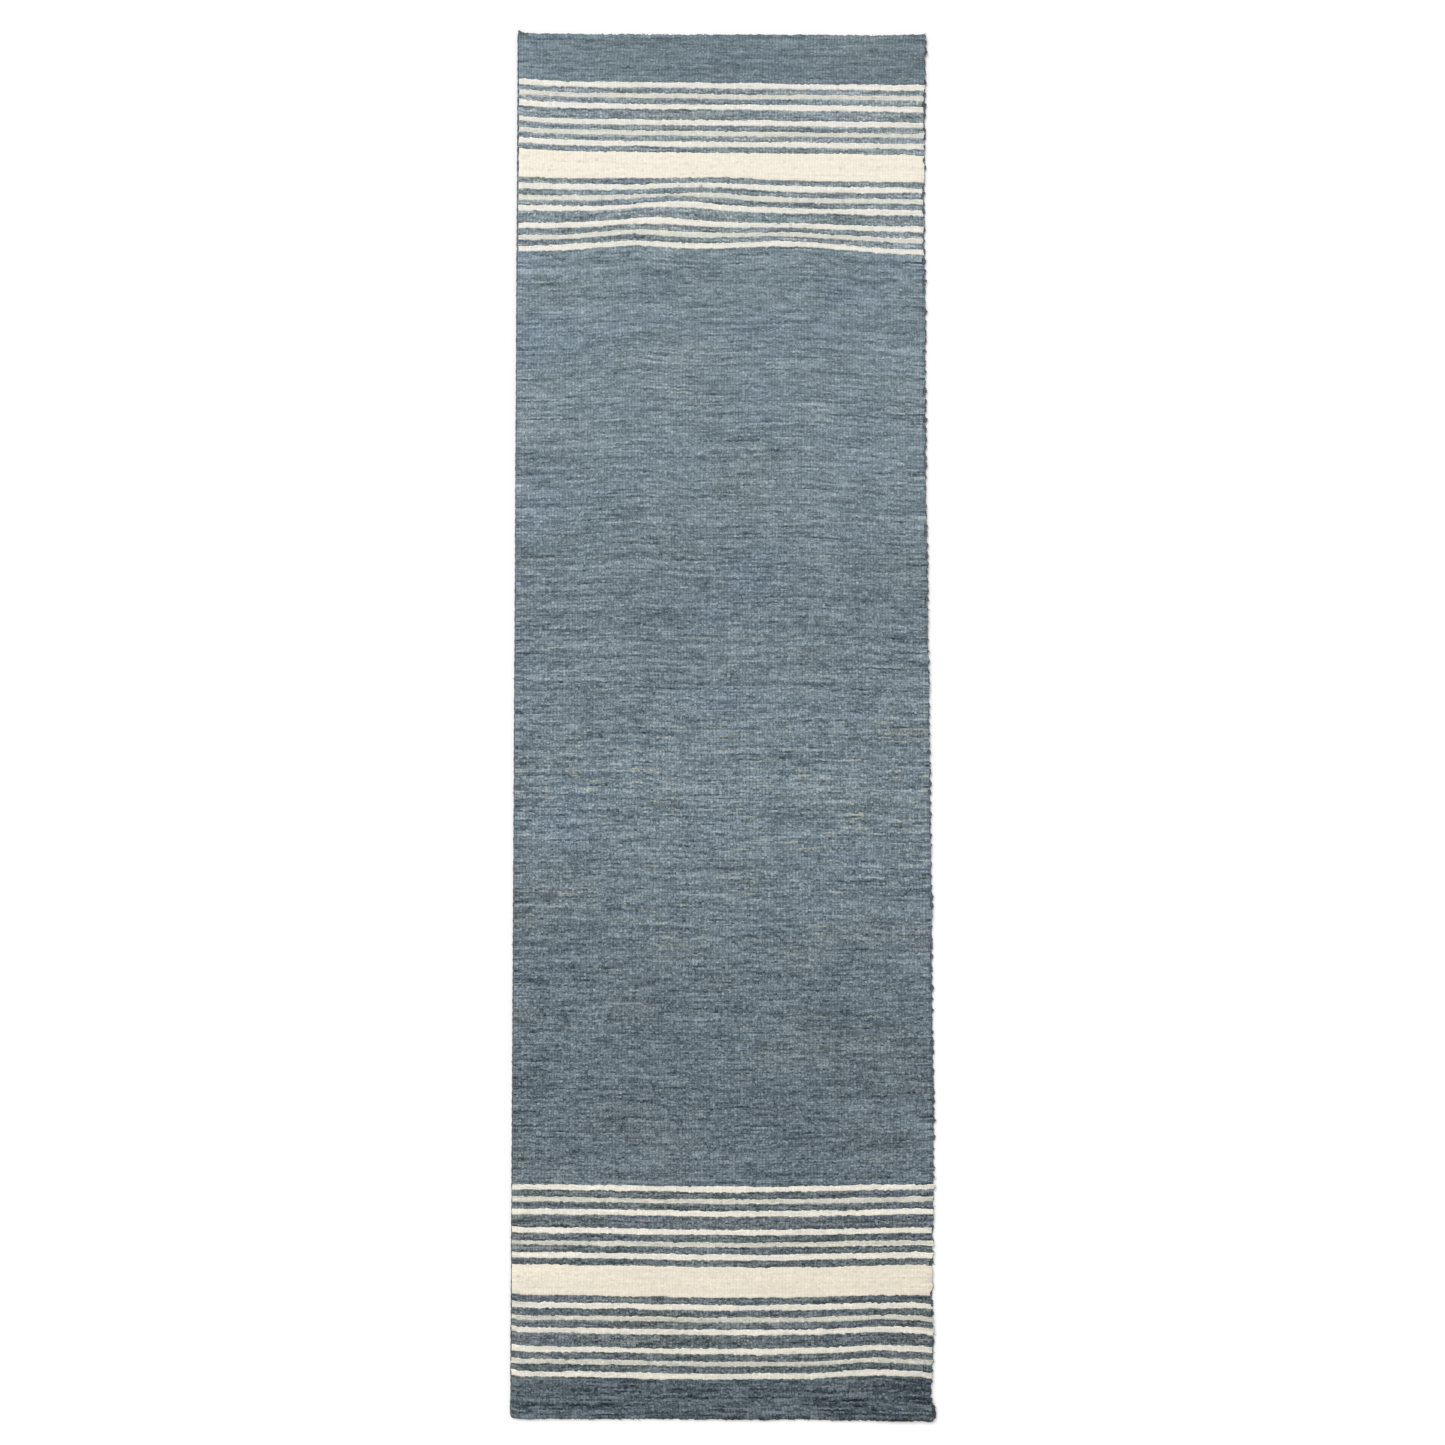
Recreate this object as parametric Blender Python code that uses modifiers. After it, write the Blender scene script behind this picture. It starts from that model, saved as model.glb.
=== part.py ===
"""A striped wool runner rug, lying flat.

A woven ground carries one layer of cut pile, tied in bands: a long field, and at each end a group of
stripes and a plain end band. A cord inside an overcast wrapping finishes each long side, and a hem of
turned-under ground finishes each end. X runs across the rug, +Y along it to the far end, and +Z up from
the floor at Z = 0.
"""
import math

import bmesh
import bpy

COLLECTION = "runner_rug"
MM = 0.001

# Overall size
WIDTH = 914 * MM
LENGTH = 3048 * MM
HEIGHT = 13 * MM
GAP = 0.3 * MM  # between pieces that touch

# Woven ground and the side finish
GROUND_THICKNESS = 3.2 * MM
WRAP_DIAMETER = 8 * MM
WRAP_WALL = 1.2 * MM
WRAP_SIDES = 16

# Turned-under ends
HEM_THICKNESS = 1.6 * MM
HEM_DEPTH = 36 * MM
HEM_BEND_RADIUS = 1.5 * MM
HEM_BEND_STEPS = 4

# Bands of pile, measured along the rug: each end was woven to its own count of rows
STRIPE_WIDTHS = {
    "far": {
        "end_band": 112.5 * MM,
        "ivory": 12.8 * MM,
        "pale": 11.1 * MM,
        "thin_blue": 12.2 * MM,
        "medium_blue": 23.5 * MM,
        "broad_ivory": 60.8 * MM,
    },
    "near": {
        "end_band": 90.5 * MM,
        "ivory": 12.3 * MM,
        "pale": 10.6 * MM,
        "thin_blue": 15.0 * MM,
        "medium_blue": 27.7 * MM,
        "broad_ivory": 64.6 * MM,
    },
}
# One half of a stripe group, from its outer edge to the broad band. The other half mirrors it.
HALF_GROUP = (
    "ivory", "thin_blue", "pale", "thin_blue", "ivory", "medium_blue",
    "ivory", "thin_blue", "pale", "thin_blue", "ivory", "thin_blue",
)
GROUP = HALF_GROUP + ("broad_ivory",) + HALF_GROUP[::-1]

# How far the rows of knots wander from straight
END_SKEW = -4.5 * MM  # across the full width, at the very ends
NEAR_SAG = 3 * MM  # the near stripes hang in one shallow curve
NEAR_SAG_X = 60 * MM
NEAR_SAG_SPAN = 500 * MM
NEAR_TILT = 4.5 * MM  # and climb a little to the right
NEAR_HUMP = 6 * MM  # the outer ones rise in a low hump too, which is gone by the broad band
NEAR_HUMP_X = 325 * MM
NEAR_HUMP_WIDTH = 75 * MM
FAR_TILT = -6 * MM  # the far stripes slope down to the right
FAR_CURL = 5.5 * MM  # and turn up beside the left cord
FAR_CURL_WIDTH = 60 * MM
FAR_HUMP = 13.5 * MM  # the inner ones rise in a hump, which moves left as it nears the field
FAR_HUMP_X = (5 * MM, -200 * MM)
FAR_HUMP_WIDTH = 125 * MM
FAR_SWELL = 17 * MM  # and the last few swell right of the middle too
FAR_SWELL_X = 135 * MM
FAR_SWELL_WIDTH = 190 * MM
SEGMENTS_ACROSS = 16

YARN_COLOURS = {
    "field": (0.190, 0.235, 0.262),
    "end_band": (0.135, 0.170, 0.190),
    "ivory": (0.78, 0.74, 0.66),
    "pale": (0.61, 0.63, 0.57),
    "thin_blue": (0.165, 0.200, 0.215),
    "medium_blue": (0.165, 0.205, 0.225),
    "broad_ivory": (0.82, 0.76, 0.65),
    "wrap": (0.150, 0.175, 0.195),
    "ground": (0.50, 0.47, 0.40),
    "hem": (0.42, 0.41, 0.37),
    "cord": (0.60, 0.57, 0.50),
}


def remove_old_objects():
    for obj in list(bpy.data.objects):
        bpy.data.objects.remove(obj)


def make_collection(name):
    collection = bpy.data.collections.new(name)
    bpy.context.scene.collection.children.link(collection)
    return collection


def yarn_material(colour_name):
    """Matt wool or cotton in one named colour."""
    found = bpy.data.materials.get(colour_name)
    if found:
        return found
    material = bpy.data.materials.new(colour_name)
    material.use_nodes = True
    shader = material.node_tree.nodes["Principled BSDF"]
    shader.inputs["Base Color"].default_value = (*YARN_COLOURS[colour_name], 1)
    shader.inputs["Roughness"].default_value = 0.95
    shader.inputs["Metallic"].default_value = 0
    return material


def add_object(name, mesh, colour_name, collection):
    obj = bpy.data.objects.new(name, mesh)
    collection.objects.link(obj)
    mesh.materials.append(yarn_material(colour_name))
    return obj


def smooth_step(value):
    value = min(max(value, 0), 1)
    return value * value * (3 - 2 * value)


def bump(x, centre, width):
    return math.exp(-(((x - centre) / width) ** 2))


def swell(x, centre, width):
    """A bump whose mean across the rug is nought, so that it moves no band as a whole."""
    return bump(x, centre, width) - width * math.sqrt(math.pi) / WIDTH


def near_wave(x, into_group):
    """into_group runs from 0 at the end band to 1 at the field."""
    outer = 1 - smooth_step(into_group / 0.6)
    return (
        -NEAR_SAG * math.cos(math.pi * (x - NEAR_SAG_X) / NEAR_SAG_SPAN)
        + NEAR_TILT * x / WIDTH
        + NEAR_HUMP * outer * swell(x, NEAR_HUMP_X, NEAR_HUMP_WIDTH)
    )


def far_wave(x, into_group):
    """into_group runs from 0 at the end band to 1 at the field."""
    rise = smooth_step((into_group - 0.4) / 0.4)
    late = smooth_step((into_group - 0.75) / 0.25)
    hump_x = FAR_HUMP_X[0] + (FAR_HUMP_X[1] - FAR_HUMP_X[0]) * smooth_step((into_group - 0.5) / 0.5)
    return (
        FAR_TILT * x / WIDTH
        + FAR_CURL * (1 - rise) * bump(x, -WIDTH / 2, FAR_CURL_WIDTH)
        + FAR_HUMP * rise * swell(x, hump_x, FAR_HUMP_WIDTH)
        + FAR_SWELL * late * swell(x, FAR_SWELL_X, FAR_SWELL_WIDTH)
    )


def row_shift(x, y):
    """How far along Y the row of knots at (x, y) lies from straight."""
    side = "far" if y > 0 else "near"
    end_band = STRIPE_WIDTHS[side]["end_band"]
    group = sum(STRIPE_WIDTHS[side][kind] for kind in GROUP)
    depth = LENGTH / 2 - abs(y)
    into_group = (depth - end_band) / group
    wave = far_wave(x, into_group) if side == "far" else near_wave(x, into_group)
    grow = smooth_step(depth / end_band)
    skew = END_SKEW * (x / WIDTH) * smooth_step(abs(y) / (LENGTH / 2))
    return skew + wave * grow


def weft_strip(name, x_half, y_low, y_high, z_low, z_high, collection, colour_name=None):
    """A solid strip across the rug, whose long edges follow the rows of knots."""
    mesh = bpy.data.meshes.new(name)
    form = bmesh.new()
    bmesh.ops.create_grid(form, x_segments=SEGMENTS_ACROSS, y_segments=1, size=1)
    for vert in form.verts:
        x = vert.co.x * x_half
        y, inset = (y_high, -GAP / 2) if vert.co.y > 0 else (y_low, GAP / 2)
        vert.co = (x, y + inset + row_shift(x, y), z_high)
    form.to_mesh(mesh)
    form.free()
    if colour_name:
        obj = add_object(name, mesh, colour_name, collection)
    else:
        obj = bpy.data.objects.new(name, mesh)
        collection.objects.link(obj)
    solid = obj.modifiers.new("thickness", "SOLIDIFY")
    solid.thickness = z_high - z_low
    solid.offset = -1
    return obj


def ground_half_width():
    return WIDTH / 2 - WRAP_DIAMETER - GAP


def make_ground(collection, cutters):
    """The woven ground, thinned underneath at each end where the hem lies."""
    end = LENGTH / 2 - HEM_THICKNESS - GAP / 2
    ground = weft_strip(
        "foundation", ground_half_width(), -end, end, 0, GROUND_THICKNESS, collection, "ground"
    )
    for side, sign in (("far", 1), ("near", -1)):
        inner = sign * (LENGTH / 2 - HEM_DEPTH - GAP)
        outer = sign * (LENGTH / 2 + HEM_THICKNESS)
        recess = weft_strip(
            side + "_hem_recess", WIDTH / 2, min(inner, outer), max(inner, outer),
            -HEM_THICKNESS, HEM_THICKNESS + GAP, cutters,
        )
        recess.hide_render = True
        recess.display_type = "WIRE"
        cut = ground.modifiers.new(side + "_hem_recess", "BOOLEAN")
        cut.object = recess
        cut.operation = "DIFFERENCE"


def hem_path():
    """A hem's outer face, from the flap's edge to its top, as (distance in from the end, height)."""
    path = [(HEM_DEPTH, 0), (HEM_BEND_RADIUS, 0)]
    for step in range(1, HEM_BEND_STEPS + 1):
        angle = math.pi / 2 * step / HEM_BEND_STEPS
        path.append((HEM_BEND_RADIUS * (1 - math.sin(angle)), HEM_BEND_RADIUS * (1 - math.cos(angle))))
    path.append((0, GROUND_THICKNESS))
    return path


def make_hem(side, sign, collection):
    """Ground turned down over the rug's end and under it, as a bent strip given thickness inwards."""
    path = hem_path()
    mesh = bpy.data.meshes.new(side + "_hem")
    form = bmesh.new()
    bmesh.ops.create_grid(form, x_segments=SEGMENTS_ACROSS, y_segments=len(path) - 1, size=1)
    for vert in form.verts:
        place = round((vert.co.y + 1) / 2 * (len(path) - 1))
        inward, height = path[place]
        x = vert.co.x * ground_half_width()
        y = sign * (LENGTH / 2 - inward)
        vert.co = (x, y + row_shift(x, y), height)
    if sign > 0:
        bmesh.ops.reverse_faces(form, faces=form.faces)
    form.to_mesh(mesh)
    form.free()
    hem = add_object(side + "_hem", mesh, "hem", collection)
    solid = hem.modifiers.new("thickness", "SOLIDIFY")
    solid.thickness = HEM_THICKNESS
    solid.offset = -1
    solid.use_even_offset = True


def make_side(side, sign, collection):
    """One long edge: a tube of overcasting wound round a cord."""
    x = sign * (WIDTH / 2 - WRAP_DIAMETER / 2)
    y = row_shift(x, LENGTH / 2)  # the ends slope, so the sides lie a little along from each other
    place = (x, y, WRAP_DIAMETER / 2)
    lengthways = (math.pi / 2, 0, 0)

    bpy.ops.mesh.primitive_cylinder_add(
        vertices=WRAP_SIDES, radius=WRAP_DIAMETER / 2, depth=LENGTH, end_fill_type="NOTHING",
        location=place, rotation=lengthways,
    )
    wrap = bpy.context.object
    wall = wrap.modifiers.new("wall", "SOLIDIFY")
    wall.thickness = WRAP_WALL
    wall.offset = -1
    wall.use_even_offset = True

    bpy.ops.mesh.primitive_cylinder_add(
        vertices=WRAP_SIDES, radius=WRAP_DIAMETER / 2 - WRAP_WALL - GAP, depth=LENGTH,
        location=place, rotation=lengthways,
    )
    cord = bpy.context.object
    finished = ((wrap, side + "_overcasting", "wrap"), (cord, side + "_side_cord", "cord"))
    for obj, name, colour_name in finished:
        obj.name = name
        obj.data.name = name
        obj.data.materials.append(yarn_material(colour_name))
        obj.data.shade_smooth()
        obj.data.set_sharp_from_angle(angle=math.radians(40))
        for owner in list(obj.users_collection):
            owner.objects.unlink(obj)
        collection.objects.link(obj)


def make_pile(collection):
    """Every band of pile, from each end inwards, and the field between the two groups."""
    z_low = GROUND_THICKNESS + GAP
    half_width = ground_half_width()
    field = {}
    for side, sign in (("far", 1), ("near", -1)):
        edge = LENGTH / 2
        count = {}
        for kind in ("end_band",) + GROUP:
            width = STRIPE_WIDTHS[side][kind]
            y_low, y_high = sorted((sign * edge, sign * (edge - width)))
            edge -= width
            count[kind] = count.get(kind, 0) + 1
            single = kind in ("end_band", "broad_ivory")
            name = f"{side}_{kind}" if single else f"{side}_{kind}_{count[kind]}"
            weft_strip(name, half_width, y_low, y_high, z_low, HEIGHT, collection, kind)
        field[side] = sign * edge
    weft_strip("field_pile", half_width, field["near"], field["far"], z_low, HEIGHT, collection, "field")


def main():
    remove_old_objects()
    rug = make_collection(COLLECTION)
    cutters = make_collection("cutters")
    make_ground(rug, cutters)
    for side, sign in (("far", 1), ("near", -1)):
        make_hem(side, sign, rug)
    for side, sign in (("left", -1), ("right", 1)):
        make_side(side, sign, rug)
    make_pile(rug)


main()
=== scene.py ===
"""The looks of a striped wool runner rug: its knotted pile, side finish, hems, light and camera.

The rug is woven here as one grid of knots, whose rows follow the bands of the CAD model, and is then cut
into one piece for each band. Rug coordinates are X across, Y along and Z up from the underside, in metres.
lay() puts them where the soft rug really lies.
"""

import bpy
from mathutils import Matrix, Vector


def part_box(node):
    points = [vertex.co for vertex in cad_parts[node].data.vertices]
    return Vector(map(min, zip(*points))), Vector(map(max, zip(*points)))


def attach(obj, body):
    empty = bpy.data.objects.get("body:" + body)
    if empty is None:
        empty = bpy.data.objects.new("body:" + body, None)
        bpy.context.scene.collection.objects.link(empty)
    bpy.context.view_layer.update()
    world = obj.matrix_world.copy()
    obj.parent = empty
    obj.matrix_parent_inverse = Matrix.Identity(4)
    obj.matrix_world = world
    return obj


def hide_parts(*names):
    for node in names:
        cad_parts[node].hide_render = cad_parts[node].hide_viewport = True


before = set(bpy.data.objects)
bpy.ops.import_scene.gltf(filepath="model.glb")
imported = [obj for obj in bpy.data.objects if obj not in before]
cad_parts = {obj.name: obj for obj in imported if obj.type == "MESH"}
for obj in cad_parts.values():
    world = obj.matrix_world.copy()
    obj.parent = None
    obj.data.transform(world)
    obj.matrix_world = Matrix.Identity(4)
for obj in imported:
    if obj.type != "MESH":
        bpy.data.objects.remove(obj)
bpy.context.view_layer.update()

import math

import bpy
import numpy as np
from mathutils import Vector

MM = 0.001
RANDOM = np.random.default_rng(1890)
BODY = "root"

# ---------------------------------------------------------------- the knots
RIBS = 136  # pairs of warps across the rug, each a rib of knots
COLUMNS = 3 * RIBS + 1  # a valley and two crown points for each rib
RIB_CROWN_INSET = 0.29  # of a rib, from its valley to its crown
ROW_PITCH = 4.0 * MM
ROW_CROWN = 0.62  # the pile leans, so a row's crown lies past its middle
RIB_VALLEY = 0.9 * MM
ROW_VALLEY = 1.1 * MM
CROSSING_VALLEY = 1.7 * MM
KNOT_HEIGHTS = 0.30 * MM
STREAK_HEIGHTS = 0.40 * MM
STREAK_PATCH = (0, 7)  # (rows, ribs)
CLOUD_HEIGHTS = 0.25 * MM
CLOUD_PATCH = (12, 12)
TRIM_BELOW_TOP = 0.5 * MM  # mean height of the crowns below the CAD pile's top
KNOT_SLIP = 0.60 * MM  # how far a knot strays along the rug
SLIP_FADE = 6  # how steeply that dies out towards a change of yarn
EDGE_SLIP = 0.75 * MM  # and at a change of yarn
EDGE_SWAY = 0.55 * MM
EDGE_SWAY_RIBS = 4
RIB_SWAY = 1.1 * MM  # how far a rib strays across the rug
RIB_SWAY_PATCH = (14, 2)  # (rows, ribs) that sway together
KNOT_LEAN = 0.60 * MM
SIDE_TURN = 3.5 * MM  # how far the near rows turn up or down beside the cords
SIDE_TURN_REACH = 12 * MM
NEAR_TURN = (-1.0, 0.3)  # where along the rug that turn begins, and how far on it is full

# ---------------------------------------------------------------- edges of the pile
# The knots beside a cord hang over it: (share of height, share of overhang) up the pile's side
WALL = ((0.0, -0.05), (0.54, -0.02), (0.62, 0.75), (0.74, 1.0), (0.88, 0.82))
OVERHANG = 4.4 * MM
OVERHANG_SPREAD = {"left": 0.35 * MM, "right": 1.3 * MM}
OVERHANG_WAVE = {"left": 0.15 * MM, "right": 1.2 * MM}
OVERHANG_ROWS = (0.7, 3)  # the rows over which the spread and the wave reach
LIGHT_YARN_OVERHANG = {  # ivory yarn turns round some edges and stops short of others
    ("left", "far"): -1.0 * MM, ("right", "far"): 0.8 * MM,
    ("left", "near"): 1.0 * MM, ("right", "near"): 2.4 * MM,
}
END_ROUND = 5.0 * MM  # radius of the last row's turn down to the ground
END_STEPS = 5
END_SHADE = {"near": 0.65, "far": 0.35}  # painted shade: how much darker the turn is at its bottom
END_TUCK = 0.2  # of that radius, which the underside reaches out too
END_DROP = 0.98  # of the pile's height, which the turn goes down
UNDERSIDE_SLACK = 0.02  # of the height, kept above the underside
UNDERSIDE_POINTS = 15
CAD_STATIONS = 17  # places across the rug where the CAD bands have corners
FIELD_PANELS = 6

# ---------------------------------------------------------------- tone of the yarn, with painted shade and sheen
KNOT_TONES = 0.12
TUFT_TONES = 0.15  # each knot has two tufts, one beside the other
# Thin streaks of a few tufts, half a row high, as (spread, tufts)
HALF_ROW_LAYERS = ((0.18, 0), (0.07, 3), (0.08, 12))
# (spread, rows, ribs) of each layer of unevenness, as a share of the yarn's lightness
TONE_LAYERS = ((0.11, 0, 1.4), (0.10, 0, 6), (0.06, 0, 16), (0.03, 1, 40), (0.035, 24, 18))
# Runs of knots along a row, as (lightness, ribs, threshold, clustering): dark nicks and paler ones
NICKS = ((-0.20, 1.5, 1.25, 0.4), (0.14, 1.2, 1.25, 0.3))
NICK_CLUSTERS = (9, 9)  # (rows, ribs)
# Undyed flecks in the blue yarns, most of them in one stretch of the field
FLECK_LIGHTNESS = 0.28  # for a fleck of strength 1
FLECK_COLOUR = np.array((1.11, 1.035, 0.90))
FLECK_RIBS = 2.0
FLECK_CLUSTERS = (0.45, 3, 10)  # (strength, rows, ribs)
FLECK_THRESHOLD = 1.15
FLECK_STRETCH = (-0.27, 0.32)  # the middle of that stretch and its half length
FLECKS_ELSEWHERE = 0.35  # their strength outside it
FLECK_LIMIT = 1.5
DARK_SKEW = 0.25  # dark knots stray further from the mean than light ones
LIGHTEST = 0.7
# How uneven each yarn is, as (knot by knot, in streaks and clouds)
CONTRAST = {
    "far_end_band": (0.72, 0.70), "near_end_band": (1.60, 2.20),
    "far_thin_blue": (1.0, 1.0), "near_thin_blue": (1.6, 1.2),
    "far_medium_blue": (1.0, 1.0), "near_medium_blue": (1.6, 1.2),
    "far_ivory": (0.14, 0.14), "near_ivory": (0.22, 0.20),
    "far_pale": (0.17, 0.17), "near_pale": (0.34, 0.34),
    "far_broad_ivory": (0.05, 0.06), "near_broad_ivory": (0.12, 0.12),
}
# and along the field, from the near end to the far one: (place, knot by knot, in streaks)
FIELD_CONTRAST = (
    (-1.30, 1.45, 0.95), (-0.80, 1.38, 1.00), (0.0, 1.15, 1.10), (0.85, 0.80, 0.92), (1.30, 0.77, 0.87),
)
STRAY_COLOUR = np.array((1.10, 0.98, 0.93))  # light knots are a little warmer and dark ones bluer
TINT_LAYERS = ((0.07, 0, 2), (0.10, 8, 8))  # of the mix between the warm and the cool tint below
LIGHT_YARN_TINTS = 0.2  # how much of that mix shows in the ivory and pale yarns
NEAR_LIGHT_TINT = -0.22  # the near end's ivory and pale yarns are warmer
NEAR_END_DARKENING = (-1.15, -1.43, 0.08)  # and darken towards that end, partly in the yarn and partly as painted shade: from, to, by how much
# Colours between which the yarns of a band vary
WARM_TINT = np.array((1.050, 1.018, 0.935))
COOL_TINT = np.array((0.965, 0.985, 1.050))
RIB_SHADE = {"light": 0.94, "blue": 0.76}  # painted shade: lightness of the valleys between ribs
ROW_SHADE = {"light": 0.96, "blue": 0.84}  # and of the gaps between rows, also painted shade
GAP_SPREAD = 0.18  # how unevenly dark that painted shade in the gaps is
GAP_PATCH = 1.6  # ribs
GAP_LIMITS = (-1, 3)
# Dye lots along the field, with painted sheen that leaves it lighter towards the far end, as (place from the
# middle towards the far end, lightness)
FIELD_DYE_LOTS_AND_SHEEN = (
    (-1.30, 0.60), (-1.00, 0.625), (-0.70, 0.67), (-0.40, 0.74), (-0.15, 0.86), (0.00, 0.83),
    (0.20, 0.80), (0.40, 0.865), (0.60, 0.925), (1.30, 0.915),
)
# How light each band's yarn is: its dye, with painted sheen that leaves the far bands lighter than the near
# ones
BAND_LIGHTNESS = {
    "far_end_band": 0.80, "near_end_band": 0.42,
    "far_thin_blue": 1.10, "near_thin_blue": 0.56,
    "far_medium_blue": 1.12, "near_medium_blue": 0.58,
    "far_ivory": 0.92, "near_ivory": 0.87,
    "far_pale": 0.94, "near_pale": 0.825,
    "far_broad_ivory": 0.945, "near_broad_ivory": 0.845,
}
LEFT_LIGHTER = 0.04  # every band is this much lighter at the left side than at the right
FAR_END_LEFT_LIGHTER = 0.18  # and this much in the far end band

# ---------------------------------------------------------------- how the rug lies
# The right side wanders: (place along the rug, how far out in millimetres)
RIGHT_SIDE = (
    (-1.53, 4.0), (-1.517, 6.0), (-1.505, 4.0), (-1.490, -2.5), (-1.45, -4.5), (-1.38, 1.0),
    (-1.28, -1.0), (-1.10, 2.0), (-0.84, 5.0), (-0.65, 3.0), (-0.40, 3.0), (-0.05, -0.5),
    (0.33, -2.5), (0.62, -5.0), (0.90, -3.5), (1.12, -5.0), (1.30, -3.0), (1.53, 0.0),
)
FARTHEST_OUT = 1.05  # of half the width, beyond which the wander grows no more
# Corners rounded off: (side, end, radius), with -1 for left and near
ROUNDED_CORNERS = ((-1, -1, 11 * MM), (1, -1, 16 * MM), (1, 1, 2 * MM), (-1, 1, 2 * MM))
ROUNDING_FADE = (3, 1.3)  # radii over which a corner's rounding fades in, and how early it is full
# Low swells under the rug, as (height, waves across, waves along, phase), and the height they start at
SWELLS = ((1.0, 1.3, 2.1, 0.6), (0.7, -2.9, 4.7, 2.0), (0.45, 5.1, 8.3, 0.0))
SWELLS_START = 0.35
LIFT_HEIGHT = 1.6 * MM
MIDDLE_LIFT = 0.35  # of the lift at the sides
CORNER_LIFT = 3.0 * MM
CORNER_REACH = 0.16
LIFTED_CORNERS = ((1, -1, 1.0), (-1, 1, 0.7), (1, 1, 0.4))  # (side, end, share of CORNER_LIFT)

# ---------------------------------------------------------------- side finish, hems and loose ends
WRAP_PITCH = 3.4 * MM
WRAP_RIDGE = 0.42 * MM
WRAP_GROOVE = 0.6  # share of the ridge that is cut away between turns
WRAP_SLANT = 1.4 * MM
WRAP_STEPS = 3  # rings to each turn of the yarn
WRAP_SIDES = 14
WRAP_WALL = 1.2 * MM
INNER_STEPS = 12  # outer rings for each inner one
TURN_STRAY = (0.15, 20)  # how far turns stray, in turns, and over how many rings
LUMPS = {"left": (16 * MM, 0.35 * MM), "right": (22 * MM, 1.7 * MM)}  # (spacing, height)
WRAP_SPREAD = {"left": 0.10, "right": 0.55}  # how uneven the turns are, as a share of the lumps
LUMP_STRAY = 1.6  # how far the lumps stray from an even beat, in radians
LUMP_LAYER = (0.5, 5)  # smaller unevenness, as a share of the lumps, and over how many rings
WRAP_TAPER = (6 * MM, 0.28)  # at each end of the winding: its length, and the share it loses
WRAP_DARKER_AT_ENDS = 0.25
WRAP_DARK_FROM = (1.0, 0.3)  # where along the rug that begins, and how far on it is full
WRAP_LIGHTNESS = 0.9  # of the knots beside it, which are taken to be no lighter than this
WRAP_BLEND = 60  # rings over which the yarn takes up the knots' lightness
LUMP_SHADE = 0.28
GROOVE_SHADE = (0.62, 0.40)  # painted shade: lightness in the grooves, and what the crowns add
WRAP_TONES = (0.10, 2)  # (spread, rings)
END_KNOB = 0.8 * MM  # the yarn is finished off in a thicker place near each end
END_KNOB_IN = 16 * MM
CORD_STRANDS = 3
CORD_TWIST = 22 * MM
CORD_STEP = 5 * MM
CORD_SIDES = 12
CORD_GROOVE = 0.16  # of the radius
# painted shade in the grooves between the cord's strands
CORD_GROOVE_SHADE = 0.2
GROUND_COLUMNS = 46
GROUND_CLEARANCE = 0.05 * MM  # off the floor
GROUND_RIB = 0.12 * MM
GROUND_SHADE = (0.55, 0.6)  # lightness of its back, and what the dye that comes through adds
HEM_THICKNESS = 1.6 * MM
HEM_DEPTH = 36 * MM
HEM_BEND = 1.5 * MM
HEM_BEND_STEPS = 4
HEM_GAP = 0.3 * MM  # between the ground and the flap under it
HEM_SLACK = 0.2 * MM  # above the flap inside the bend
HEM_FRAY = (0.15 * MM, 1.5)  # of the flap's cut edge, and over how many stations
HEM_CUT_EDGE = 30 * MM  # all that is further in from the end frays
HEM_TONES = 0.08
# A stitch's path, as (in from the end, height) in millimetres
STITCH_PATH = ((9.0, -0.1), (6.0, -0.25), (3.0, -0.25), (1.2, 0.1), (0.1, 0.9), (-0.25, 2.0), (0.1, 3.3))
STITCH_SPACING = 11 * MM
STITCH_RADIUS = 0.45 * MM
STITCH_STRAY = 0.8 * MM
STITCH_SLANT = 1.6 * MM
STITCH_SHADES = (0.75, 0.95)
YARN_POINTS = 6  # along each loose yarn
YARN_LOWEST = 0.8 * MM
# Loose yarns: how many there are, and their lengths and the radii at their two ends in millimetres
LOOSE_ENDS = {"left": 16, "right": 34}
LOOSE_LENGTHS = (2.5, 5.0)
LONG_LOOSE_ENDS = (0.234, -1.01, -1.07, -1.19, -1.34, -1.50)  # places along the right side
LONG_LOOSE_LENGTHS = (6.5, 9.0)
LOOSE_RADII = (0.80, 0.35)
END_FUZZ = {"far": 110, "near": 50}  # short ends along each end of the rug
FUZZ_LENGTHS = (2.0, 3.6)
FUZZ_RADII = (0.70, 0.30)
# Tufts at corners: (side, end, yarns, length), with -1 for left and near
CORNER_TUFTS = ((-1, 1, 26, 12.0), (1, 1, 12, 8.5), (1, -1, 8, 5.5), (-1, -1, 3, 3.0))
TUFT_RADII = (2.0, 0.8)
TUFT_INSET = (3, 15)  # how far in from the side its yarns start
TUFT_TAPER = (1.2, 0.06)  # its yarns' length, as a share of the tuft's, and what each millimetre in takes off
TUFT_DROOP = 0.4

# ---------------------------------------------------------------- camera and light
CAMERA_AIM = (0.0017, -0.0184, 0.013)
CAMERA_DISTANCE = 4.403
CAMERA_TILT = math.radians(3.08)
CAMERA_LENS = 50
KEY_LIGHT_FROM = (-0.38, 0.55, 1.0)
KEY_LIGHT_ANGLE = math.radians(30)
KEY_LIGHT_STRENGTH = 2.0
SKY_STRENGTH = 0.585
FLOOR_COLOUR = (0.90, 0.90, 0.90, 1)
FLOOR_ROUGHNESS = (0.86, 0.88)
FLOOR_NOISE = 3
# The backdrop is flat round the rug and then curves up: (distance from the middle, height)
BACKDROP = (
    (8, 0.0), (12, 0.2), (16, 0.8), (20, 1.9), (24, 3.6), (28, 6.0), (32, 9.2), (36, 13.5), (39, 19.0),
)
BACKDROP_SIDES = 64

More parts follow.
